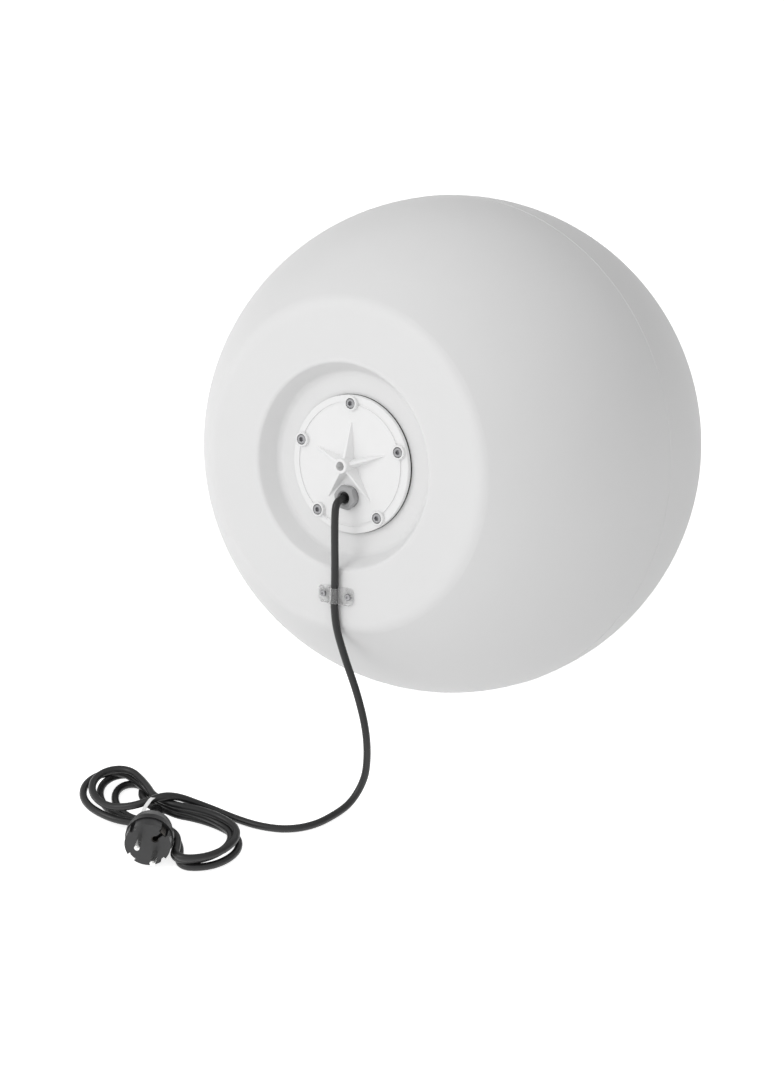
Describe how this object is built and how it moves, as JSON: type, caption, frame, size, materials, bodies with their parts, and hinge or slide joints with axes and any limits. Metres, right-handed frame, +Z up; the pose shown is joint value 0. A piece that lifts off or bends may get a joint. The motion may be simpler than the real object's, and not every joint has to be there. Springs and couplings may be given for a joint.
{
  "type": "floating pool light",
  "caption": "White moulded globe lamp on its side: bolted base cover in a recess, cable gland, clipped black mains cord in a tied hank with a plug, and a screw-in lamp inside.",
  "frame": {"origin": "bottom centre of the box round the globe, cover and clip, on the floor it lies on, without the free cord, hank and plug", "axes": "+Z up from the floor, -Y the way the tilted base cover faces, +X across it; the lamp axis leans 17.1 degrees up from -Y"},
  "size_m": [0.4505, 0.6682, 0.4499],
  "materials": {
    "globe": "matte translucent white polyethylene",
    "cover": "satin white moulded plastic",
    "brass": "plain",
    "rubber": "matte black",
    "steel": "stainless, slightly dull",
    "zinc_steel": "zinc plated",
    "grey_plastic": "light grey polyamide",
    "clear_plastic": "clear to frosted",
    "black_plastic": "satin black",
    "tin": "plain",
    "bulb_white": "glossy white",
    "bulb_diffuser": "opal",
    "cord": "matte black rubber sheath",
    "lead_brown": "plain",
    "lead_blue": "plain",
    "lead_green": "plain",
    "plug_rubber": "matte black",
    "plug_face": "satin black",
    "pin_metal": "nickel plated",
    "tie": "white paper and wire"
  },
  "bodies": {
    "globe": {"globe_shell": "globe", "screw_inserts": "brass", "cover_gasket": "rubber", "cover_plate": "cover", "cover_washers": "steel", "cover_screws": "steel", "gland_washer": "rubber", "gland_body": "grey_plastic", "gland_seal": "rubber", "gland_locknut": "grey_plastic", "cable_clip": "clear_plastic", "clip_screws": "steel", "lamp_bracket": "zinc_steel", "bracket_screws": "zinc_steel", "holder_nipple": "zinc_steel", "nipple_nut": "zinc_steel", "lampholder_body": "black_plastic", "lampholder_ring": "black_plastic", "lampholder_shell": "brass", "cable_end": "cord", "lead_live": "lead_brown", "lead_neutral": "lead_blue", "lead_earth": "lead_green", "earth_screw": "zinc_steel", "plug_body": "plug_rubber", "plug_front": "plug_face", "plug_pins": "pin_metal", "plug_earth_clips": "pin_metal", "plug_earth_sleeve": "pin_metal", "cord": "cord", "cord_hank": "cord", "cord_tie": "tie"},
    "clamp_ring": {"gland_clamp_ring": "grey_plastic"},
    "gland_nut": {"gland_nut": "grey_plastic"},
    "lamp_contact": {"contact_tongue": "brass"},
    "lamp": {"bulb_contact": "tin", "bulb_insulator": "black_plastic", "bulb_cap": "tin", "bulb_housing": "bulb_white", "bulb_dome": "bulb_diffuser"}
  },
  "joints": [
    {"name": "clamp_ring_slide", "type": "slide", "parent": "globe", "child": "clamp_ring", "axis": [0, -0.9558, 0.294], "range_m": [0, 0.003]},
    {"name": "gland_nut_turn", "type": "hinge", "parent": "clamp_ring", "child": "gland_nut", "pos_m": [0.00477, -0.16928, 0.24568], "axis": [0, -0.9558, 0.294], "range_deg": [0, 718]},
    {"name": "lamp_contact_slide", "type": "slide", "parent": "globe", "child": "lamp_contact", "axis": [0, 0.9558, -0.294], "range_m": [0, 0.00182]},
    {"name": "lamp_turn", "type": "hinge", "parent": "lamp_contact", "child": "lamp", "pos_m": [0, -0.06455, 0.24264], "axis": [0, 0.9558, -0.294], "range_deg": [0, 180]}
  ],
  "couplings": [
    {"joint": "clamp_ring_slide", "follows": "gland_nut_turn", "m_per_rad": 0.00023873},
    {"joint": "lamp_contact_slide", "follows": "lamp_turn", "m_per_rad": 0.00057773}
  ]
}
